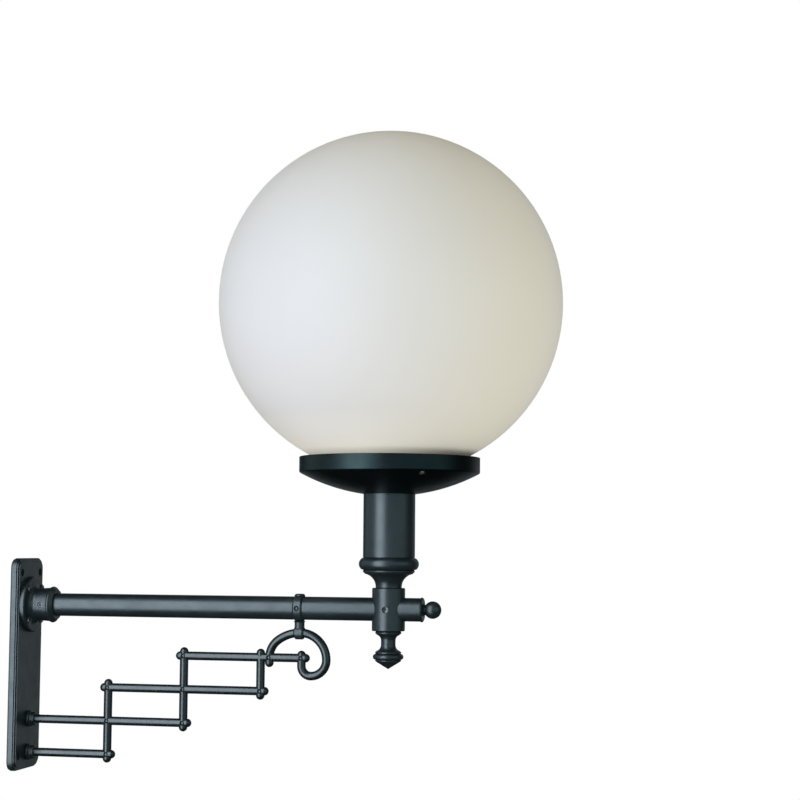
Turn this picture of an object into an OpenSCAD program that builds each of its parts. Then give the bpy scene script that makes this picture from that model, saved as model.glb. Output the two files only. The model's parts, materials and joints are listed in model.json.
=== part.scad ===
// Outdoor wall light: an opal globe on a turned column, carried by a tube arm
// that a scroll and a stepped lattice of round rods brace against a wall plate.
// Origin: middle of the wall plate's fixing holes, on the wall's face.
// +X points away from the wall, along the arm. +Z is up.

/* [Placing] */
// Distance from the wall to the lamp's axis
reach = 450; // [446:1:470]
// Height of the arm's axis above the middle of the wall plate
arm_z = 70; // [68:1:74]

/* [Wall plate] */
// Width of the wall plate
plate_w = 76; // [74:1:90]
// Height of the wall plate
plate_h = 250; // [246:1:260]
// Thickness of the wall plate
plate_t = 8; // [7:0.5:9]
// Corner radius of the wall plate
plate_corner = 12; // [8:1:14]
// Thickness of the rubber gasket behind the plate
gasket_t = 2; // [1.5:0.5:3]
// Distance between the wall holes, across
wall_hole_w = 52; // [50:1:54]
// Distance between the wall holes, up
wall_hole_h = 216; // [212:1:220]
// Diameter of the wall holes
wall_hole_d = 9; // [7:0.5:9]
// Bore of the cable grommet
grommet_bore_d = 9; // [8:0.5:9]

/* [Arm] */
// Outer diameter of the arm tube
arm_d = 26.9; // [26.5:0.1:27.2]
// Wall thickness of the arm tube
arm_wall = 2.3; // [2:0.1:2.6]
// Length of the arm tube past the lamp's axis
arm_past = 38.5; // [36:0.5:42]
// Diameter of the socket's hub on the wall plate
socket_hub_d = 38; // [36:1:40]
// Diameter of the socket's flange
socket_flange_d = 66; // [64:1:68]
// Height of the socket from the plate
socket_h = 34; // [30:1:38]

/* [Lattice] */
// Diameter of the round rods
rod_d = 10; // [9.6:0.1:10]
// Depth of the top rail below the arm's axis
rail_drop = 57.6; // [57:0.1:59]
// Distance from one rail to the next
rail_pitch = 39.1; // [38:0.1:40]
// Distance from the lamp's axis to the first stile
stile_first = 152; // [152:0.1:154]
// Distance from one stile to the next
stile_pitch = 93.6; // [92:0.1:95]
// Length of a rod past its last crossing
rod_past = 10; // [9.5:0.1:11]
// Diameter of the pins through the crossings
pin_d = 3.2; // [2.8:0.1:3.4]
// Diameter of the tapered mouth round a pin's head
pin_ring_d = 5.5; // [5:0.1:5.8]

/* [Scroll and clamp] */
// Distance from the lamp's axis to the clamp
clamp_back = 105.7; // [105.4:0.1:106]
// Distance from the lamp's axis to the scroll's crown
crown_back = 104.4; // [104.2:0.1:104.8]
// Depth of the scroll's crown below the arm's axis
crown_drop = 28.5; // [28:0.1:28.8]
// Distance from the crown back to the scroll's outer foot
scroll_back = 37.1; // [36.8:0.1:37.4]
// Distance from the crown forward to the scroll's widest point
scroll_front = 31.2; // [31:0.1:31.6]
// Height of the scroll, from its crown to its lowest point
scroll_fall = 49.6; // [49.2:0.1:50]
// Distance from the crown forward to the scroll's inner end
curl_front = 1.5; // [1.2:0.1:1.8]
// Width of the clamp ring
clamp_w = 11.4; // [11:0.1:11.8]
// Thickness of the clamp ring
clamp_t = 2.2; // [2:0.1:2.4]

/* [Column] */
// Diameter of the upright cross fitting
cross_d = 38.1; // [37:0.1:39]
// Height of the cross fitting
cross_h = 49.2; // [49:0.1:50]
// Diameter of the post under the dish
post_d = 60; // [59:0.5:60]
// Height of the post's foot above the arm's axis
post_foot = 59.7; // [59.7:0.1:60.4]
// Height of the post's top above the arm's axis
post_top = 132.6; // [130:0.1:135]
// Wall thickness of the post
post_wall = 3; // [2.5:0.5:3.5]
// Radius of the ball at the arm's end
ball_r = 10; // [9.5:0.1:10.4]

/* [Dish and globe] */
// Outer diameter of the dish
dish_d = 209.4; // [208:0.2:211]
// Height of the dish's rim above the arm's axis
rim_z = 175; // [174:0.2:177]
// Radius of curvature of the dish's underside
dish_curve = 220; // [216:1:224]
// Wall thickness of the dish
dish_t = 3; // [2.5:0.5:3.5]
// Outer diameter of the globe
globe_d = 400; // [398:1:402]
// Wall thickness of the globe
globe_t = 3; // [2.5:0.5:4]
// Height of the globe's centre above the arm's axis
globe_z = 354.4; // [353:0.2:356]
// Outer diameter of the globe's neck
neck_d = 168; // [167:0.5:169]
// Bearing of the first retaining screw, in degrees from +X
screw_bearing = -56; // [-60:1:-52]

/* [Hidden] */
$fn = 96;

// Small gap left between turned pieces that fit in each other
fit_gap = 0.1;
// Gap between pieces that come apart
free_gap = 0.3;

paint = "#3c4548";
steel = "#b9bcc0";
rubber = "#222222";
opal = "#f0eee6";
ceramic = "#f4f1e8";
copper = "#b87333";
sleeve = "#7f9a3a";

arm_r = arm_d / 2;
arm_bore_r = arm_r - arm_wall;
rod_r = rod_d / 2;
plate_face = gasket_t + plate_t;
arm_end = reach + arm_past;
socket_screw_r = 25.5;

// Bends of the scroll: two rise from the foot to the crown and meet where the rod
// climbs 3 in 4, then three quarters wind down and into the curl
foot_rise = rail_drop - crown_drop;
foot_turn = asin(0.6);
foot_bend_r = 1.5 * foot_rise - 0.5 * scroll_back;
long_bend_r = 2 * scroll_back - foot_rise;
front_bend_r = scroll_front;
under_bend_r = scroll_fall - front_bend_r;
curl_bend_r = front_bend_r - under_bend_r - curl_front;
// How far the scroll's two tips pass the top rail: the foot below it, the curl above it
foot_past = 11.2;
curl_past = 8.6;

cross_r = cross_d / 2;
post_r = post_d / 2;
post_bore_r = post_r - post_wall;
dish_r = dish_d / 2;
dish_floor = post_top + 4.4;
globe_r = globe_d / 2;
neck_r = neck_d / 2;
neck_foot = rim_z - 17;
seal_t = 3;
// Where the retaining screws pierce the dish, and how far they lean in
screw_r = 98;
screw_z = dish_bottom_z(screw_r);
screw_tilt = 45;
holder_z = dish_floor + 47;
// Boss for the earth screw, beside the bracket
earth_y = 45;
earth_top = dish_floor + 7;
stay_r = 6.5;
cable_r = 3.5;
// Length of the end cap's collar
collar_w = 2.5;
hex_grip = 1.1547;
// Depth of the tapered mouth round a pin's head
pin_sink = 2.2;
// Swelling of a wire at its elbows, as a share of its radius
elbow = 1.06;

function rail_z(i) = arm_z - rail_drop - i * rail_pitch;
function stile_x(i) = reach - stile_first - i * stile_pitch;
scroll_foot_x = reach - crown_back - scroll_back;
scroll_curl_x = reach - crown_back + curl_front;

// Height of the dish's underside above the arm's axis at a radius
function dish_bottom_z(r) = post_top + sqrt(dish_curve * dish_curve - post_r * post_r)
  - sqrt(dish_curve * dish_curve - r * r);

// Points on an arc round [x, y], from one angle to another
function arc(x, y, r, from, to, steps = 8) =
  [for (i = [0:steps]) let (a = from + (to - from) * i / steps) [x + r * cos(a), y + r * sin(a)]];

// Cylinder along X, from x0 to x1
module bar_x(x0, x1, r) {
  translate([x0, 0, 0]) rotate([0, 90, 0]) cylinder(h = x1 - x0, r = r);
}

// Cylinder along Y, from y0 to y1
module bar_y(y0, y1, r) {
  translate([0, y0, 0]) rotate([-90, 0, 0]) cylinder(h = y1 - y0, r = r);
}

// Cylinder along Z, from z0 to z1
module bar_z(z0, z1, r) {
  translate([0, 0, z0]) cylinder(h = z1 - z0, r = r);
}

// Cylinder along Z with both edges chamfered
module chamfered_z(z0, z1, r, c) {
  bar_z(z0 + c, z1 - c, r);
  translate([0, 0, z0]) cylinder(h = c, r1 = r - c, r2 = r);
  translate([0, 0, z1 - c]) cylinder(h = c, r1 = r, r2 = r - c);
}

// Six-sided prism along Z
module hex_z(z0, z1, across) {
  translate([0, 0, z0]) cylinder(h = z1 - z0, d = across * hex_grip, $fn = 6);
}

// Children moved to the lamp's axis at the height of the arm
module at_lamp() {
  translate([reach, 0, arm_z]) children();
}

// Grub screw along Z with its hexagon socket at the top
module grub_screw(z0, z1, r, socket, deep = 2.2) {
  difference() {
    chamfered_z(z0, z1, r, 0.4);
    hex_z(z1 - deep, z1 + 1, socket);
  }
}

// Round wire through a list of points, with round elbows
module wire(points, r) {
  for (i = [0:len(points) - 2])
    let (a = points[i], d = points[i + 1] - a, flat = norm([d.x, d.y])) {
      translate(a) rotate([0, atan2(flat, d.z), atan2(d.y, d.x)]) cylinder(h = norm(d), r = r, $fn = 24);
      if (i > 0) translate(a) sphere(r = r * elbow, $fn = 24);
    }
}

// Outline of the wall plate, drawn flat on the wall
module plate_blank(x0, x1, inset) {
  w = plate_w / 2 - inset;
  h = plate_h / 2 - inset;
  c = plate_corner - inset;
  translate([x0, 0, 0]) rotate([90, 0, 90]) linear_extrude(x1 - x0) {
    square([2 * w, 2 * (h - c)], center = true);
    square([2 * (w - c), 2 * h], center = true);
    for (y = [-1, 1], z = [-1, 1]) translate([y * (w - c), z * (h - c)]) circle(c);
  }
}

module wall_holes(x0, x1) {
  for (y = [-1, 1], z = [-1, 1])
    translate([0, y * wall_hole_w / 2, z * wall_hole_h / 2]) bar_x(x0, x1, wall_hole_d / 2);
}

module wall_gasket() {
  color(rubber) difference() {
    plate_blank(0, gasket_t, 1);
    wall_holes(-1, gasket_t + 1);
    translate([0, 0, arm_z]) bar_x(-1, gasket_t + 1, 10);
  }
}

// Plate with a stepped edge, drilled for the wall, the cable, the socket and the rails
module wall_plate() {
  color(paint) difference() {
    union() {
      plate_blank(gasket_t, plate_face - 3, 0);
      plate_blank(plate_face - 3, plate_face - 1.4, 1.6);
      plate_blank(plate_face - 1.4, plate_face, 4.2);
    }
    wall_holes(gasket_t - 1, plate_face + 1);
    translate([0, 0, arm_z]) bar_x(gasket_t - 1, plate_face + 1, 7);
    for (i = [2, 3]) translate([0, 0, rail_z(i)]) bar_x(plate_face - 5, plate_face + 1, rod_r + fit_gap);
    for (a = [45:90:315]) translate(socket_screw_place(a)) bar_x(plate_face - 6, plate_face + 1, 2.1);
  }
}

// Where a socket screw stands on the flange
function socket_screw_place(a) = [0, socket_screw_r * cos(a), arm_z + socket_screw_r * sin(a)];

module cable_grommet() {
  color(rubber) translate([0, 0, arm_z]) difference() {
    union() {
      bar_x(0.4, gasket_t - 0.05, 9.4);
      bar_x(gasket_t - 0.05, plate_face + 2, 6.9);
    }
    bar_x(-1, plate_face + 3, grommet_bore_d / 2);
  }
}

// Turned socket that holds the arm on the wall plate
module arm_socket() {
  hub = socket_hub_d / 2;
  rim = socket_flange_d / 2;
  cove = 7;
  profile = concat(
    [[arm_r + fit_gap, 0], [rim, 0], [rim, 3.4]],
    arc(rim - 2, 3.6, 2, 0, 90, 5),
    arc(hub + cove, 5.6 + cove, cove, 270, 180, 8),
    arc(hub - 0.2, socket_h - 5, 2.6, -60, 60, 8),
    [[hub - 1.6, socket_h], [arm_r + fit_gap, socket_h]]);
  color(paint) translate([plate_face, 0, arm_z]) rotate([0, 90, 0]) difference() {
    rotate_extrude() polygon(profile);
    for (a = [45:90:315]) rotate(a) translate([socket_screw_r, 0, -1]) {
      cylinder(h = 10, r = 2.7);
      translate([0, 0, 4.6]) cylinder(h = 6, r = 4.7);
    }
    translate([0, 0, 20]) rotate([90, 0, 0]) cylinder(h = hub + 5, r = 3.2);
  }
}

module socket_screws() {
  color(steel) for (a = [45:90:315]) translate(socket_screw_place(a)) difference() {
    union() {
      bar_x(plate_face - 5.5, plate_face + 4, 2);
      bar_x(plate_face + 3.6, plate_face + 7.4, 4.3);
    }
    translate([plate_face + 5.4, 0, 0]) rotate([0, 90, 0]) hex_z(0, 3, 4);
  }
}

module socket_grub_screw() {
  color(steel) translate([plate_face + 20, 0, arm_z]) rotate([90, 0, 0])
    grub_screw(arm_r + 0.05, socket_hub_d / 2 - 0.8, 3.1, 3);
}

// Arm tube, open to the wall and holed on top where the cable turns up
module arm_tube() {
  color(paint) translate([0, 0, arm_z]) difference() {
    bar_x(plate_face + 0.05, arm_end, arm_r);
    bar_x(plate_face - 1, arm_end + 1, arm_bore_r);
    translate([reach, 0, 0]) bar_z(0, arm_r + 1, 6);
  }
}

// Turned collars where the two lower rails enter the plate
module rail_collars() {
  profile = concat(
    [[rod_r + fit_gap, 0], [9, 0]],
    arc(7.6, 2.2, 2.2, -30, 90, 8),
    arc(9.4, 6, 1.6, 270, 180, 5),
    [[7.8, 9.2], [7, 10], [rod_r + fit_gap, 10]]);
  color(paint) for (i = [2, 3])
    translate([plate_face, 0, rail_z(i)]) rotate([0, 90, 0]) rotate_extrude() polygon(profile);
}

// Round rod along X between two rounded tips
module rod_x(x0, x1) {
  bar_x(x0 + rod_r, x1 - rod_r, rod_r);
  for (x = [x0 + rod_r, x1 - rod_r]) translate([x, 0, 0]) sphere(r = rod_r);
}

// Round rod along Z between two rounded tips
module rod_z(z0, z1) {
  bar_z(z0 + rod_r, z1 - rod_r, rod_r);
  for (z = [z0 + rod_r, z1 - rod_r]) translate([0, 0, z]) sphere(r = rod_r);
}

// Half of the square block in which two rods cross: side -1 is the front, 1 the back
module lap(side, d = rod_d) {
  translate([0, side * d / 2, 0]) cube([d, d, d], center = true);
}

// Bore for a pin from the front face at -Y, with a tapered mouth round its head
module pin_bore(face = rod_r, end = rod_r - 1.2, sink = pin_sink, ring = pin_ring_d) {
  taper = (ring - pin_d) / 2;
  bar_y(-face - 1, end, pin_d / 2);
  bar_y(-face - 1, -face + sink - 1.4, ring / 2);
  rotate([90, 0, 0]) translate([0, 0, face - sink + 1.4 - taper])
    cylinder(h = taper + 0.01, r1 = pin_d / 2, r2 = ring / 2);
}

// Pin in such a bore: its head is a slim boss at the bottom of the mouth
module pin(face = rod_r, end = rod_r - 1.3, sink = pin_sink) {
  rotate([90, 0, 0]) {
    bar_z(-end, face - sink, pin_d / 2 - 0.05);
    bar_z(face - sink - 0.1, face - 0.9, 1.15);
    translate([0, 0, face - 0.9]) cylinder(h = 0.3, r1 = 1.15, r2 = 0.85);
  }
}

// Children, which are a rod, made into the front member of its crossings
module front_member(crossings, pinned) {
  difference() {
    union() {
      children();
      for (p = crossings) translate(p) intersection() {
        bar_z(-rod_r, rod_r, rod_r);
        lap(-1);
      }
    }
    for (p = crossings) translate(p) lap(1);
    for (p = pinned) translate(p) pin_bore();
  }
}

// Children, which are a rod, made into the back member of its crossings
module back_member(crossings, pinned) {
  difference() {
    union() {
      children();
      for (p = crossings) translate(p) intersection() {
        bar_x(-rod_r, rod_r, rod_r);
        lap(1);
      }
    }
    for (p = crossings) translate(p) lap(-1);
    for (p = pinned) translate(p) pin_bore();
  }
}

// Stiles that each rail crosses, and the same seen from each stile
RAIL_STILES = [[0, 1], [0, 1, 2], [1, 2], [2]];
STILE_RAILS = [[0, 1], [0, 1, 2], [1, 2, 3]];
function crossing(stile, rail) = [stile_x(stile), 0, rail_z(rail)];
function rail_crossings(i) = [for (s = RAIL_STILES[i]) crossing(s, i)];
function stile_crossings(i) = [for (r = STILE_RAILS[i]) crossing(i, r)];
// The crossing of the first stile and the top rail is closed by welding, without a pin
function pinned(list) = [for (p = list) if (norm(p - crossing(0, 0)) > 1) p];
SCROLL_CROSSINGS = [[scroll_foot_x, 0, rail_z(0)], [scroll_curl_x, 0, rail_z(0)]];

// Rail i, between its two tips
module rail(i, x0, x1, crossings) {
  color(paint) front_member(crossings, pinned(crossings))
    translate([0, 0, rail_z(i)]) rod_x(x0, x1);
}

module rail_1() {
  rail(0, stile_x(1) - rod_past, scroll_curl_x + rod_past, concat(rail_crossings(0), SCROLL_CROSSINGS));
}

module rail_2() {
  rail(1, stile_x(2) - rod_past, stile_x(0) + rod_past, rail_crossings(1));
}

module rail_3() {
  rail(2, plate_face - 4.5, stile_x(1) + rod_past, rail_crossings(2));
}

module rail_4() {
  rail(3, plate_face - 4.5, stile_x(2) + rod_past, rail_crossings(3));
}

// Stile i, from its lowest rail to its highest
module stile(i) {
  rails = STILE_RAILS[i];
  color(paint) back_member(stile_crossings(i), pinned(stile_crossings(i)))
    translate([stile_x(i), 0, 0])
      rod_z(rail_z(rails[len(rails) - 1]) - rod_past, rail_z(rails[0]) + rod_past);
}

module stile_1() { stile(0); }
module stile_2() { stile(1); }
module stile_3() { stile(2); }

module crossing_pins() {
  places = concat(pinned(stile_crossings(0)), stile_crossings(1), stile_crossings(2), SCROLL_CROSSINGS);
  color(steel) for (p = places) translate(p) pin();
}

// Bend of the scroll's rod round [x, z]: it starts at one angle and turns by another
module bend(x, z, r, start, turn) {
  translate([x, 0, z]) rotate([90, 0, 0]) rotate(start)
    rotate_extrude(angle = turn) translate([r, 0]) circle(rod_r);
}

// Scroll from its foot up over the crown and round into the curl. It starts to bend
// within its foot's crossing, so it is hollowed there to the top rail.
module scroll() {
  x = reach - crown_back;
  crown = arm_z - crown_drop;
  rail = rail_z(0);
  color(paint) difference() {
    back_member(SCROLL_CROSSINGS, SCROLL_CROSSINGS) {
      translate([scroll_foot_x, 0, 0]) {
        translate([0, 0, rail - foot_past + rod_r]) sphere(r = rod_r);
        bar_z(rail - foot_past + rod_r, rail, rod_r);
      }
      bend(scroll_foot_x + foot_bend_r, rail, foot_bend_r, 180, foot_turn - 90);
      bend(x, crown - long_bend_r, long_bend_r, 90, foot_turn);
      bend(x, crown - front_bend_r, front_bend_r, 0, 90);
      bend(x + front_bend_r - under_bend_r, crown - front_bend_r, under_bend_r, -90, 90);
      bend(scroll_curl_x + curl_bend_r, crown - scroll_fall + curl_bend_r, curl_bend_r, 180, 90);
      translate([scroll_curl_x, 0, 0]) {
        bar_z(crown - scroll_fall + curl_bend_r, rail + curl_past - rod_r, rod_r);
        translate([0, 0, rail + curl_past - rod_r]) sphere(r = rod_r);
      }
    }
    translate([scroll_foot_x, 0, rail]) bar_x(rod_r, 3 * rod_r, rod_r + 0.05);
  }
}

// Ring on the arm with a button on top and an eye below for the scroll's crown
module clamp_ring() {
  ring_r = arm_r + clamp_t;
  eye_r = 7.7;
  eye_half = 5.9;
  // The scroll's rod bends down a little within the eye, so its hole is this much deeper
  eye_sag = 0.6;
  half = clamp_w / 2;
  slope = 1.9;
  ring = [[arm_r + fit_gap, -half], [ring_r - slope, -half], [ring_r, -half + slope],
    [ring_r, half - slope], [ring_r - slope, half], [arm_r + fit_gap, half]];
  button = concat([[0, arm_r + 0.5], [6.5, arm_r + 0.5], [6.3, ring_r - 1]],
    arc(3.7, ring_r - 1.4, 2.4, 10, 90, 6), [[0, ring_r + 1]]);
  neck = concat([[0, -arm_r - 1]], arc(8.6, -ring_r - 1.6, 2.8, 120, 180, 5),
    [[5.8, -crown_drop + 1], [0, -crown_drop + 1]]);
  eye = [[0, -eye_half], [eye_r - 1.8, -eye_half], [eye_r, -eye_half + 1.8],
    [eye_r, eye_half - 1.8], [eye_r - 1.8, eye_half], [0, eye_half]];
  color(paint) translate([reach - clamp_back, 0, arm_z]) difference() {
    union() {
      rotate([0, 90, 0]) rotate_extrude() polygon(ring);
      rotate_extrude() polygon(button);
      rotate_extrude() polygon(neck);
      translate([0, 0, -crown_drop]) rotate([0, 90, 0]) rotate_extrude() polygon(eye);
    }
    bar_x(-20, 20, arm_r + fit_gap);
    for (z = [0, eye_sag]) translate([0, 0, -crown_drop - z]) bar_x(-20, 20, rod_r + fit_gap);
    pin_bore(ring_r, 0, 1.9, 6.2);
  }
}

// Pin that locks the clamp ring on the arm
module clamp_pin() {
  color(steel) translate([reach - clamp_back, 0, arm_z]) pin(arm_r + clamp_t, -arm_r - 0.05, 1.9);
}

// Upright fitting through which the arm passes and on which the column stands
module cross_fitting() {
  color(paint) at_lamp() difference() {
    chamfered_z(-cross_h / 2, cross_h / 2, cross_r, 0.8);
    bar_x(-cross_r - 1, cross_r + 1, arm_r + fit_gap);
    bar_z(0, cross_h / 2 + 1, stay_r + fit_gap);
    bar_z(-cross_h / 2 - 1, 0, 5);
    bar_y(-cross_r - 1, 0, 3.9);
  }
}

module cross_screw() {
  face = cross_r - 1.6;
  color(steel) at_lamp() rotate([90, 0, 0]) difference() {
    grub_screw(arm_r + 0.05, face, 3.8, 1.5, 2.6);
    translate([0, 0, face - 1]) cylinder(h = 1.1, r1 = 0.2, r2 = 4.1);
  }
}

// Plug with a rounded collar that closes the arm's end
module end_cap() {
  collar_r = arm_r + 0.75;
  profile = concat([[0, -12], [arm_bore_r - 0.1, -12], [arm_bore_r - 0.1, 0]],
    arc(collar_r - 0.5, 0.5, 0.5, -90, 0, 3), arc(collar_r - 2, collar_w - 2, 2, 0, 90, 6),
    [[0, collar_w]]);
  color(paint) translate([arm_end, 0, arm_z]) rotate([0, 90, 0]) difference() {
    rotate_extrude() polygon(profile);
    bar_z(-6, collar_w + 1, 3.1);
  }
}

// Ball on a short neck, with a stud into the cap
module ball_finial() {
  centre = collar_w + 10.8;
  profile = concat([[0, -4], [3, -4], [3, collar_w + 0.05], [7, collar_w + 0.05], [7, collar_w + 0.9],
    [5.7, collar_w + 1.7]], arc(0, centre, ball_r, -54, 90, 20));
  color(paint) translate([arm_end, 0, arm_z]) rotate([0, 90, 0]) rotate_extrude() polygon(profile);
}

// Turned drop below the cross fitting, with its stud
module drop_finial() {
  top = -cross_h / 2;
  profile = concat([[0, top + 10], [4.9, top + 10], [4.9, top], [12.6, top]],
    arc(13, top - 2, 2, 75, -70, 8),
    arc(14.9, top - 10.8, 6.5, 112, 180, 8),
    arc(15.6, top - 15.9, 7.2, 180, 250, 8),
    arc(13.5, top - 24.8, 1.5, 70, -55, 8),
    arc(14.25, top - 29.5, 3.4, 62, -62, 10),
    arc(13.5, top - 33.7, 1.4, 55, -60, 6),
    [[0, top - 43.6]]);
  color(paint) at_lamp() rotate_extrude() polygon(profile);
}

// Turned foot of the column: cove, fillet and round bead
module baluster() {
  low = cross_h / 2;
  bead_r = 7.9;
  profile = concat(
    [[stay_r + fit_gap, low], [14.7, low], [15.1, low + 0.4]],
    arc(30.2, low + 1.2, 15.1, 180, 100, 14),
    [[28.8, 42]],
    arc(28.2, 43.7, 1.8, -30, 60, 5),
    arc(26.85, 52.05, bead_r, -54, 74, 20),
    [[28.4, post_foot], [post_bore_r - 0.1, post_foot], [post_bore_r - 0.1, post_foot + 6],
    [stay_r + fit_gap, post_foot + 6]]);
  color(paint) at_lamp() rotate_extrude() polygon(profile);
}

module post() {
  color(paint) at_lamp() difference() {
    bar_z(post_foot, post_top, post_r);
    bar_z(post_foot - 1, post_top + 1, post_bore_r);
  }
}

// Threaded tube that ties the column together, with the cable inside it
module stay_tube() {
  color(steel) at_lamp() difference() {
    bar_z(14.2, dish_floor + 13, stay_r);
    bar_z(13, dish_floor + 14, 5);
  }
}

module stay_washer() {
  color(steel) at_lamp() difference() {
    bar_z(dish_floor + 2, dish_floor + 4, 14);
    bar_z(dish_floor + 1, dish_floor + 5, stay_r + fit_gap);
  }
}

module stay_nut() {
  color(steel) at_lamp() difference() {
    hex_z(dish_floor + 4, dish_floor + 11, 19);
    bar_z(dish_floor + 3, dish_floor + 12, stay_r + fit_gap);
  }
}

// Children placed on retaining screw i's axis, with +Z towards the globe's neck
module at_globe_screw(i) {
  at_lamp() rotate(screw_bearing + 120 * i) translate([screw_r, 0, screw_z])
    rotate([0, -screw_tilt, 0]) children();
}

// Shallow cast dish with an upright rim band and a seat for the globe's seal
module dish() {
  seat_in = neck_r - 5;
  seat_out = neck_r + 4.5;
  seat_z = neck_foot - seal_t;
  band_r = dish_r - dish_t;
  shoulder = dish_bottom_z(dish_r - 1.5);
  floor_r = 38.5;
  edge = 2.2;
  profile = concat(
    [[stay_r + fit_gap, post_top - 6], [post_bore_r - 0.1, post_top - 6],
    [post_bore_r - 0.1, post_top], [post_r - 0.5, post_top]],
    [for (i = [0:16]) let (r = post_r + (dish_r - edge - post_r) * i / 16) [r, dish_bottom_z(r)]],
    arc(dish_r - edge, shoulder + edge, edge, -60, 0, 5),
    arc(dish_r - 0.5, rim_z - 0.5, 0.5, 0, 90, 3),
    [[band_r, rim_z], [band_r, shoulder + 3.2], [seat_out, dish_bottom_z(seat_out) + dish_t],
    [seat_out, seat_z], [seat_in, seat_z], [seat_in, dish_bottom_z(seat_in) + dish_t]],
    [for (i = [0:6]) let (r = seat_in - 4 - (seat_in - 44) * i / 6) [r, dish_bottom_z(r) + dish_t]],
    [[floor_r, dish_floor], [stay_r + fit_gap, dish_floor]]);
  color(paint) difference() {
    union() {
      at_lamp() rotate_extrude() polygon(profile);
      for (i = [0:2]) intersection() {
        at_globe_screw(i) bar_z(0, 10, 5.5);
        at_lamp() rotate_extrude() polygon(concat([[80, neck_foot + 7]],
          [for (r = [80:4:dish_r - 0.5]) [r, dish_bottom_z(r) + 0.15]],
          [[dish_r - 0.5, dish_bottom_z(dish_r - 0.5) + 0.15], [dish_r - 0.5, neck_foot + 7]]));
      }
      at_lamp() translate([0, earth_y, 0]) bar_z(post_top + 4.2, earth_top, 5);
    }
    for (i = [0:2]) at_globe_screw(i) {
      bar_z(-3, 14, 2.6);
      bar_z(-4, 2.8, 4);
    }
    at_lamp() translate([0, earth_y, 0]) bar_z(dish_floor + 1.5, earth_top + 1, 2);
    at_lamp() bar_z(neck_foot, rim_z + 1, neck_r + 0.6);
    at_lamp() bar_z(seat_z, neck_foot + 0.1, neck_r + 2.6);
  }
}

module neck_seal() {
  color(rubber) at_lamp() difference() {
    bar_z(neck_foot - seal_t + 0.02, neck_foot - 0.02, neck_r + 2.5);
    bar_z(neck_foot - seal_t - 1, neck_foot + 1, neck_r - 4.5);
  }
}

// Retaining screw with a low socket head outside and its point just clear of the neck
module globe_screw(i) {
  tip = (screw_r - neck_r - free_gap - 0.2) / sin(screw_tilt);
  color(steel) at_globe_screw(i) difference() {
    union() {
      chamfered_z(1.6, 2.8, 3.8, 0.4);
      bar_z(2.7, tip - 2.4, 2.5);
      translate([0, 0, tip - 2.4]) cylinder(h = 1.4, r1 = 2.5, r2 = 1);
    }
    hex_z(0, 3.5, 3);
  }
}

module globe_screw_1() { globe_screw(0); }
module globe_screw_2() { globe_screw(1); }
module globe_screw_3() { globe_screw(2); }

// Opal ball with a plain cylindrical neck
module globe() {
  bore_r = neck_r - globe_t;
  color(opal) at_lamp() rotate_extrude() difference() {
    union() {
      intersection() {
        translate([0, globe_z]) circle(globe_r, $fn = 180);
        translate([0, neck_foot + 2]) square([globe_r + 1, 2 * globe_r + 10]);
      }
      translate([0, neck_foot]) square([neck_r, globe_z - globe_r * 0.88 - neck_foot]);
    }
    translate([0, globe_z]) circle(globe_r - globe_t, $fn = 180);
    translate([0, neck_foot - 1]) square([bore_r, globe_z - globe_r * 0.85 - neck_foot]);
    translate([-globe_r - 1, 0]) square([globe_r + 1, globe_z + globe_r + 10]);
  }
}

// Folded strip under the stay nut that carries the lampholder and the terminal block
module lamp_bracket() {
  half = 11;
  low = dish_floor;
  color(steel) at_lamp() difference() {
    union() {
      translate([-14, -half, low]) cube([50, 2 * half, 2]);
      translate([34, -half, low]) cube([2, 2 * half, holder_z - low]);
      translate([-20, -half, holder_z - 2]) cube([56, 2 * half, 2]);
    }
    bar_z(low - 1, low + 3, stay_r + fit_gap);
    translate([33, -8, low + 14]) cube([4, 16, 14]);
    for (x = [-11, 11]) translate([x, 0, 0]) bar_z(holder_z - 3, holder_z + 1, 2.1);
  }
}

// Ceramic lampholder with a deep round socket
module lampholder() {
  profile = concat([[0, 0], [17.4, 0], [18, 0.6], [18, 12]],
    arc(18.5, 17, 4.5, -80, 0, 6),
    [[23, 48.6], [21.6, 50], [15.2, 50], [15.2, 15], [0, 15]]);
  color(ceramic) at_lamp() translate([0, 0, holder_z]) difference() {
    rotate_extrude() polygon(profile);
    for (x = [-11, 11]) translate([x, 0, 0]) bar_z(-1, 8, 2.1);
  }
}

module holder_shell() {
  color(copper) at_lamp() translate([0, 0, holder_z]) difference() {
    bar_z(19, 48, 15);
    bar_z(18, 49, 14.2);
  }
}

module holder_contact() {
  color(copper) at_lamp() translate([0, 0, holder_z]) {
    bar_z(15, 16.4, 6);
    bar_z(16.4, 18, 3.5);
  }
}

module holder_screws() {
  color(steel) at_lamp() for (x = [-11, 11]) translate([x, 0, holder_z]) {
    bar_z(-4, -2, 3.6);
    bar_z(-2.2, 7, 2);
  }
}

// Pear-shaped bulb of thin glass, open where its cap closes it
module bulb_glass() {
  centre = holder_z + 98;
  ball = 30;
  neck = 13;
  skin = 1;
  start = holder_z + 44;
  cove = 36;
  profile = concat([[neck - skin, start], [neck, start]],
    arc(neck + cove, start + 8, cove, 180, 146, 8),
    arc(0, centre, ball, -37, 90, 24),
    arc(0, centre, ball - skin, 90, -37, 24),
    arc(neck + cove, start + 8, cove + skin, 146, 180, 8));
  color(opal, 0.6) at_lamp() rotate_extrude() polygon(profile);
}

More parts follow.
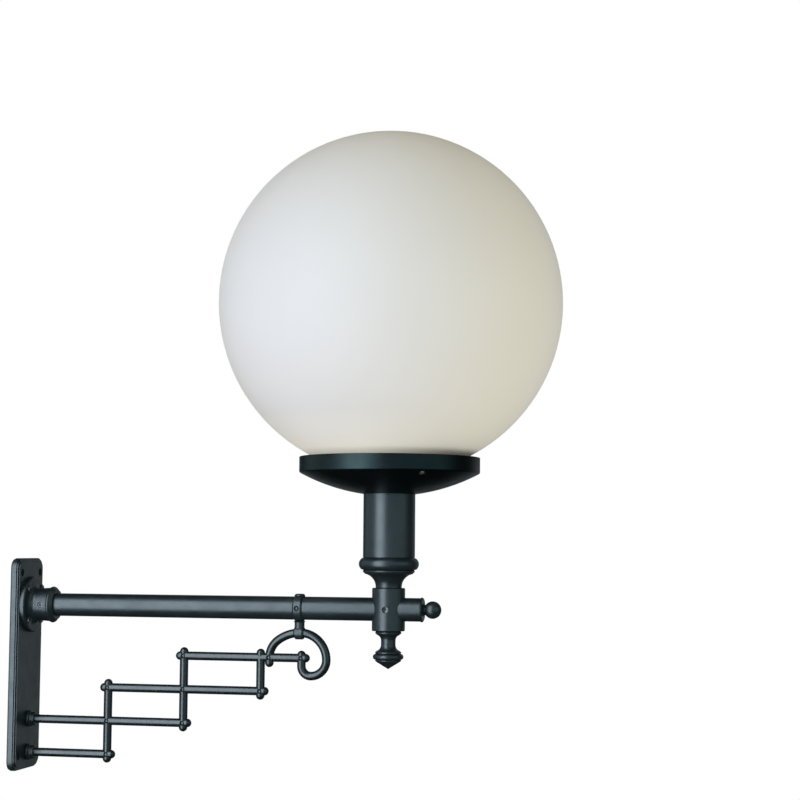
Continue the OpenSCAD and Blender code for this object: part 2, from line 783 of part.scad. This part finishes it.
// Screw cap of the bulb
module bulb_cap() {
  turns = 5;
  pitch = 3.6;
  low = holder_z + 22;
  groove = [for (i = [0:turns - 1]) each [[12.2, low + 1 + i * pitch], [13.2, low + 1 + (i + 0.5) * pitch]]];
  profile = concat([[0, low], [11.4, low]], groove,
    [[12.2, low + 1 + turns * pitch], [13.4, low + 20], [13.4, holder_z + 43.9], [0, holder_z + 43.9]]);
  color(copper) at_lamp() rotate_extrude() polygon(profile);
}

module bulb_insulator() {
  color(rubber) at_lamp() translate([0, 0, holder_z + 19.4]) cylinder(h = 2.55, r1 = 6, r2 = 10.5);
}

module bulb_contact() {
  color(copper) at_lamp() bar_z(holder_z + 18.3, holder_z + 19.35, 4.2);
}

// Three-way terminal block screwed to the bracket's upright
module terminal_block() {
  color(ceramic) at_lamp() translate([36, -15, dish_floor + 11]) difference() {
    cube([14, 30, 20]);
    for (y = [6, 15, 24], z = [5, 15]) translate([11, y, z]) bar_x(0, 4, 2.3);
  }
}

module terminal_screws() {
  color(copper) at_lamp() translate([36, -15, dish_floor + 11])
    for (y = [6, 15, 24], z = [5, 15]) translate([11, y, z]) difference() {
      bar_x(0.1, 2, 2.1);
      translate([1.2, -3, -0.4]) cube([2, 6, 0.8]);
    }
}

// Supply cable inside the arm, turning up into the stay tube
module supply_cable() {
  turn = 14;
  color(rubber) translate([reach, 0, arm_z]) {
    bar_x(plate_face + 2.1 - reach, -turn, cable_r);
    translate([-turn, 0, turn]) rotate([90, 0, 0]) rotate(-90)
      rotate_extrude(angle = 90) translate([turn, 0]) circle(cable_r);
    bar_z(turn, dish_floor + 16, cable_r);
  }
}

module cable_cores() {
  color(copper) at_lamp() for (k = [-1:1])
    wire([[0, k * 2.2, dish_floor + 16.8], [3, k * 2.6, dish_floor + 20], [16, k * 5, dish_floor + 21],
      [35.9, k * 5, dish_floor + 21]], 1);
}

module holder_leads() {
  color(copper) at_lamp() for (y = [-5, 5])
    wire([[43, y, dish_floor + 31.1], [43, y, holder_z + 5], [18.6, y, holder_z + 6]], 1);
}

module earth_screw() {
  color(steel) at_lamp() translate([0, earth_y, 0]) {
    bar_z(dish_floor + 2, earth_top + 1.1, 1.9);
    chamfered_z(earth_top + 0.95, earth_top + 4, 4, 0.6);
  }
}

// Ring tag under the earth screw and its wire to the terminal block
module earth_lead() {
  color(sleeve) at_lamp() {
    translate([0, earth_y, earth_top]) difference() {
      union() {
        bar_z(0.05, 0.9, 4.6);
        translate([0, -1.5, 0.05]) cube([7.5, 3, 0.85]);
      }
      bar_z(-1, 2, 2.1);
    }
    wire([[6, earth_y, earth_top + 0.9], [10, earth_y - 1, earth_top + 4], [28, 34, earth_top + 12],
      [43, 26, dish_floor + 21], [43, 15.1, dish_floor + 21]], 1);
  }
}

wall_gasket();
wall_plate();
cable_grommet();
arm_socket();
socket_screws();
socket_grub_screw();
arm_tube();
rail_collars();
rail_1();
rail_2();
rail_3();
rail_4();
stile_1();
stile_2();
stile_3();
crossing_pins();
scroll();
clamp_ring();
clamp_pin();
cross_fitting();
cross_screw();
end_cap();
ball_finial();
drop_finial();
baluster();
post();
stay_tube();
stay_washer();
stay_nut();
dish();
neck_seal();
globe_screw_1();
globe_screw_2();
globe_screw_3();
globe();
lamp_bracket();
lampholder();
holder_shell();
holder_contact();
holder_screws();
bulb_glass();
bulb_cap();
bulb_insulator();
bulb_contact();
terminal_block();
terminal_screws();
supply_cable();
cable_cores();
holder_leads();
earth_screw();
earth_lead();
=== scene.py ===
import json
import math

import bpy
from mathutils import Matrix, Vector

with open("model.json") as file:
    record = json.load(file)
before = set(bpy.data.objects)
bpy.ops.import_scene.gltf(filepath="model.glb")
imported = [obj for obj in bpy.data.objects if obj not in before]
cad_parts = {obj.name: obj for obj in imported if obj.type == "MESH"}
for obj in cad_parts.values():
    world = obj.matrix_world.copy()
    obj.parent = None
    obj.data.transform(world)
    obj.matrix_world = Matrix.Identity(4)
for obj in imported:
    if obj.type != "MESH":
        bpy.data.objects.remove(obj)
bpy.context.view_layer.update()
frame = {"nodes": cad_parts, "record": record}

# Looks of the outdoor wall light. The solids carry every form that shows, so this script
# only gives them materials and puts them in a studio. All lengths are in metres.
NODES = frame["nodes"]
SCENE = bpy.context.scene


# Camera, fitted to the outlines in the photograph; angles in radians
CAMERA_AT = Vector((0.9008, -2.0622, 0.1410))
CAMERA_YAW = 0.2098407
CAMERA_PITCH = -0.0808382
CAMERA_ROLL = 0.0077475
LENS_MM = 82.017
SENSOR_MM = 36
CLIP_END = 50


def place_camera():
    back = Vector((math.sin(CAMERA_YAW) * math.cos(CAMERA_PITCH),
                   -math.cos(CAMERA_YAW) * math.cos(CAMERA_PITCH),
                   math.sin(CAMERA_PITCH)))
    level = Vector((math.cos(CAMERA_YAW), math.sin(CAMERA_YAW), 0))
    upright = back.cross(level)
    right = level * math.cos(CAMERA_ROLL) + upright * math.sin(CAMERA_ROLL)
    up = upright * math.cos(CAMERA_ROLL) - level * math.sin(CAMERA_ROLL)
    turn = Matrix((right, up, back)).transposed().to_4x4()
    camera = bpy.data.objects.new("camera", bpy.data.cameras.new("camera"))
    camera.data.lens = LENS_MM
    camera.data.sensor_width = SENSOR_MM
    camera.data.clip_end = CLIP_END
    camera.matrix_world = Matrix.Translation(CAMERA_AT) @ turn
    SCENE.collection.objects.link(camera)
    SCENE.camera = camera


place_camera()
SCENE.view_settings.view_transform = "Standard"


def fill(node, values):
    """Sets inputs by name, written with _ for each space."""
    for name, value in values.items():
        node.inputs[name.replace("_", " ")].default_value = value
    return node


class Tree:
    """Short calls for building a tree of shader nodes."""

    def __init__(self, tree):
        self.nodes, self.links = tree.nodes, tree.links

    def add(self, kind, **values):
        return fill(self.nodes.new("ShaderNode" + kind), values)

    def axes(self, vector):
        """The X, Y and Z outputs of a vector."""
        node = self.add("SeparateXYZ")
        self.links.new(vector, node.inputs["Vector"])
        return node.outputs

    def ramp(self, fac, stops):
        """Colours along fac. Stops are (position, colour)."""
        node = self.add("ValToRGB")
        bands = node.color_ramp.elements
        while len(bands) < len(stops):
            bands.new(0.5)
        for band, (at, colour) in zip(bands, stops):
            band.position = at
            band.color = (*colour, 1)
        self.links.new(fac, node.inputs["Fac"])
        return node.outputs["Color"]

    def span(self, fac, low, high, from_low=0.3, from_high=0.7):
        """Carries one range over to another, and holds it beyond the ends."""
        node = self.add("MapRange", From_Min=from_low, From_Max=from_high,
                        To_Min=low, To_Max=high)
        self.links.new(fac, node.inputs["Value"])
        return node.outputs["Result"]


class Material(Tree):
    """One Principled shader, textured in the part's own coordinates."""

    def __init__(self, name):
        self.mat = bpy.data.materials.new(name)
        self.mat.use_nodes = True
        super().__init__(self.mat.node_tree)
        self.bsdf = self.nodes["Principled BSDF"]
        self.place = self.add("TexCoord").outputs["Object"]

    def set(self, **values):
        fill(self.bsdf, values)
        return self

    def into(self, socket, output):
        self.links.new(output, self.bsdf.inputs[socket])

    def noise(self, scale, detail=2.0, rough=0.5, stretch=None):
        """Stretch scales the pattern along X, Y and Z."""
        place = self.place
        if stretch:
            mapping = self.add("Mapping", Scale=stretch)
            self.links.new(place, mapping.inputs["Vector"])
            place = mapping.outputs["Vector"]
        node = self.add("TexNoise", Scale=scale, Detail=detail, Roughness=rough)
        self.links.new(place, node.inputs["Vector"])
        return node.outputs["Fac"]

    def bump(self, *layers):
        """Layers are (height output, depth), the coarsest first."""
        normal = None
        for height, depth in layers:
            node = self.add("Bump", Strength=1, Distance=depth)
            self.links.new(height, node.inputs["Height"])
            if normal is not None:
                self.links.new(normal, node.inputs["Normal"])
            normal = node.outputs["Normal"]
        self.into("Normal", normal)


def scaled(colour, factor):
    return tuple(min(1, c * factor) for c in colour)


def painted(name, colour, rough, grain=0.00003, specular=0.5, tint=(1, 1, 1)):
    """Sprayed satin enamel: orange peel, slight patchiness and uneven gloss."""
    t = Material(name)
    patches = [(0.3, scaled(colour, 0.82)), (0.55, colour), (0.75, scaled(colour, 1.22))]
    t.into("Base Color", t.ramp(t.noise(9, 4, 0.6), patches))
    t.into("Roughness", t.span(t.noise(60, 3, 0.6), rough - 0.05, rough + 0.06))
    t.bump((t.noise(420, 2, 0.5), grain), (t.noise(1500, 2, 0.6), grain * 0.35))
    return t.set(Specular_IOR_Level=specular, Specular_Tint=(*tint, 1)).mat


def metal(name, colour, rough, stretch):
    """Plated or drawn metal with fine marks along one direction."""
    t = Material(name)
    patches = [(0.3, scaled(colour, 0.86)), (0.7, scaled(colour, 1.08))]
    t.into("Base Color", t.ramp(t.noise(30, 4, 0.6), patches))
    t.into("Roughness", t.span(t.noise(400, 3, 0.6, stretch), rough - 0.08, rough + 0.1))
    t.bump((t.noise(700, 3, 0.6, stretch), 0.000012))
    return t.set(Metallic=1.0).mat


def moulded(name, colour, rough, grain, specular=0.4):
    """Rubber, sleeve or ceramic with a fine grain and slight variation."""
    t = Material(name)
    patches = [(0.3, scaled(colour, 0.88)), (0.7, scaled(colour, 1.08))]
    t.into("Base Color", t.ramp(t.noise(45, 3, 0.55), patches))
    t.into("Roughness", t.span(t.noise(150, 2), rough - 0.06, rough + 0.06))
    t.bump((t.noise(900, 2), grain))
    return t.set(Specular_IOR_Level=specular).mat


# Painted glow: the opal emits light at the foot of the ball, just above the dish, to lift it
# out of the dish's shade, most on the wall side. The levels run up the Z range, as (share of
# the height, brightness), and fade out over the X range.
PAINTED_GLOW_COLOUR = (1, 0.92, 0.64)
PAINTED_GLOW_LEVELS = ((0, 0), (0.14, 0.34), (0.26, 0.29), (0.34, 0.16), (0.47, 0.09), (1, 0))
PAINTED_GLOW_Z = (0.236, 0.292)
PAINTED_GLOW_X = (0.44, 0.532)
PAINTED_GLOW_STRENGTH = (1.1, 0.05)


def opal_plastic():
    """Satin opal moulding: milky and faintly cloudy, with a painted glow at its foot."""
    t = Material("opal_plastic")
    clouds = [(0.3, (0.84, 0.825, 0.745)), (0.7, (0.865, 0.85, 0.775))]
    t.into("Base Color", t.ramp(t.noise(5, 3, 0.5), clouds))
    t.into("Roughness", t.span(t.noise(25, 3, 0.5), 0.5, 0.58))
    t.bump((t.noise(14, 2, 0.4), 0.0004), (t.noise(1100, 2, 0.5), 0.000008))
    axes = t.axes(t.place)
    # Painted glow: emission at the ball's foot stands in for light, though the lamp is off
    painted_glow = [(at, scaled(PAINTED_GLOW_COLOUR, level)) for at, level in PAINTED_GLOW_LEVELS]
    t.into("Emission Color", t.ramp(t.span(axes["Z"], 0, 1, *PAINTED_GLOW_Z), painted_glow))
    t.into("Emission Strength", t.span(axes["X"], *PAINTED_GLOW_STRENGTH, *PAINTED_GLOW_X))
    return t.set(Specular_IOR_Level=0.12).mat


def bulb_glass():
    """Slightly clouded glass, made see-through by its alpha alone."""
    t = Material("bulb_glass")
    clouds = [(0.3, (0.88, 0.9, 0.9)), (0.7, (0.94, 0.95, 0.94))]
    t.into("Base Color", t.ramp(t.noise(20, 2), clouds))
    t.into("Roughness", t.span(t.noise(120, 2), 0.12, 0.22))
    t.bump((t.noise(90, 2), 0.00004))
    return t.set(Alpha=0.55, Specular_IOR_Level=0.6).mat


PAINT = (0.009, 0.018, 0.021)
DISH = (0.0003, 0.0013, 0.0017)
LOOKS = {
    "satin_paint": painted("satin_paint", PAINT, rough=0.375),
    "rod_paint": painted("rod_paint", scaled(PAINT, 0.6), rough=0.31, grain=0.000008),
    "dish_black": painted("dish_black", DISH, rough=0.39, specular=0.27, tint=(0.68, 0.97, 1)),
    "dark_fasteners": painted("dark_fasteners", (0.03, 0.037, 0.04), rough=0.33, grain=0.00001),
    "zinc_steel": metal("zinc_steel", (0.68, 0.69, 0.7), rough=0.42, stretch=(1, 1, 0.05)),
    "black_rubber": moulded("black_rubber", (0.018, 0.018, 0.019), rough=0.62, grain=0.00002),
    "brass": metal("brass", (0.75, 0.55, 0.24), rough=0.28, stretch=(1, 1, 0.1)),
    "porcelain": moulded("porcelain", (0.84, 0.82, 0.76), rough=0.2, grain=0.000012,
                         specular=0.6),
    "opal_plastic": opal_plastic(),
    "bulb_glass": bulb_glass(),
    "wire_sleeve": moulded("wire_sleeve", (0.16, 0.11, 0.08), rough=0.42, grain=0.00001),
    "earth_sleeve": moulded("earth_sleeve", (0.3, 0.46, 0.06), rough=0.42, grain=0.00001),
}

# The rods wear a smoother and darker coat of the same paint, so they keep its slot
RODS = ("rail_1", "rail_2", "rail_3", "rail_4", "stile_1", "stile_2", "stile_3", "scroll")
for part in frame["record"]["subparts"]:
    thing = NODES[part["node"]]
    look = "rod_paint" if part["node"] in RODS else part["material_slot"]
    thing.data.materials.clear()
    thing.data.materials.append(LOOKS[look])


# Studio. Each box stands at a bearing in degrees round the column, 0 towards +X and 90
# towards +Y, and faces AIM. The glossy ones show only in reflections, as light strips on
# the paint, and the matt ones light only matt surfaces, such as the ball.
COLUMN_X = 0.45
AIM = Vector((0.40, 0, 0.25))
GLOSSY, MATT = "glossy", "matt"
SOFTBOXES = (
    # name, bearing, height, distance, (width, height), watts, colour, what it lights
    ("strip", 241, 0.5, 2.0, (1.3, 3.7), 118, (0.76, 0.91, 1.0), GLOSSY),
    ("veil", 322, 0.6, 2.5, (4.2, 2.0), 20, (0.78, 1.16, 1.28), GLOSSY),
    ("rim", 178, 0.5, 2.2, (2.0, 2.4), 8, (0.8, 1.12, 1.2), GLOSSY),
    ("behind", 90, 0.5, 2.4, (3.6, 2.6), 9, (0.85, 1.0, 1.08), GLOSSY),
    ("left", 215, 0.9, 2.2, (1.2, 1.4), 12.5, (0.94, 1.0, 0.92), MATT),
    ("middle", 240, 0.25, 2.2, (1.2, 1.4), 5.7, (0.36, 1.0, 3.3), MATT),
    ("front", 290, 0.3, 2.2, (1.2, 1.4), 6.6, (1.02, 1.0, 0.6), MATT),
)


def softbox(name, bearing, height, distance, size, watts, colour, lights):
    data = bpy.data.lights.new(name, "AREA")
    data.shape = "RECTANGLE"
    data.size, data.size_y = size
    data.energy = watts
    data.color = colour
    light = bpy.data.objects.new(name, data)
    a = math.radians(bearing)
    light.location = (COLUMN_X + distance * math.cos(a), distance * math.sin(a), height)
    light.rotation_euler = (light.location - AIM).to_track_quat("Z", "Y").to_euler()
    light.visible_glossy = lights == GLOSSY
    light.visible_diffuse = lights == MATT
    light.visible_camera = False
    SCENE.collection.objects.link(light)


for box in SOFTBOXES:
    softbox(*box)

# Room light on matt surfaces, by direction: dim and warm from the wall side, brighter and
# neutral from the lamp side, and weaker from above than from below. Gloss reflects a
# nearly dark sky instead, and the camera sees plain white.
ROOM_TINTS = [(0, (0.88, 0.75, 0.49)), (0.5, (1.045, 0.98, 0.855)), (1, (1.24, 1.24, 1.24))]
ROOM_BELOW, ROOM_ABOVE = 0.71, 0.41
WHITE = (1, 1, 1, 1)
GLOSS_SKY, GLOSS_LEVEL = (0.9, 0.97, 1, 1), 0.016


def build_world():
    world = bpy.data.worlds.new("studio")
    SCENE.world = world
    world.use_nodes = True
    world.cycles.sampling_method = "NONE"
    t = Tree(world.node_tree)
    t.nodes.clear()

    def choose(fac, no, yes):
        node = t.add("MixShader")
        for source, socket in zip((fac, no.outputs[0], yes.outputs[0]), node.inputs):
            t.links.new(source, socket)
        return node

    axes = t.axes(t.add("TexCoord").outputs["Generated"])
    room = t.add("Background")
    t.links.new(t.ramp(t.span(axes["X"], 0, 1, -1, 1), ROOM_TINTS), room.inputs["Color"])
    t.links.new(t.span(axes["Z"], ROOM_BELOW, ROOM_ABOVE, -1, 1), room.inputs["Strength"])
    ray = t.add("LightPath").outputs
    gloss = t.add("Background", Color=GLOSS_SKY, Strength=GLOSS_LEVEL)
    soft = choose(ray["Is Glossy Ray"], room, gloss)
    seen = choose(ray["Is Camera Ray"], soft, t.add("Background", Color=WHITE, Strength=1))
    t.links.new(seen.outputs[0], t.add("OutputWorld").inputs["Surface"])


build_world()

# Pale floor, which lies below the photograph's view
FLOOR_Z = -1.6
FLOOR_HALF = 6.0
floor_mesh = bpy.data.meshes.new("floor")
corners = [(x * FLOOR_HALF, y * FLOOR_HALF, FLOOR_Z)
           for x, y in ((-1, -1), (1, -1), (1, 1), (-1, 1))]
floor_mesh.from_pydata(corners, [], [(0, 1, 2, 3)])
pale = Material("pale_floor")
pale_patches = [(0.3, (0.86, 0.86, 0.85)), (0.7, (0.9, 0.9, 0.89))]
pale.into("Base Color", pale.ramp(pale.noise(1.5, 2), pale_patches))
pale.into("Roughness", pale.span(pale.noise(6, 2), 0.75, 0.85))
floor_mesh.materials.append(pale.mat)
floor = bpy.data.objects.new("floor", floor_mesh)
floor.visible_diffuse = floor.visible_glossy = False
SCENE.collection.objects.link(floor)
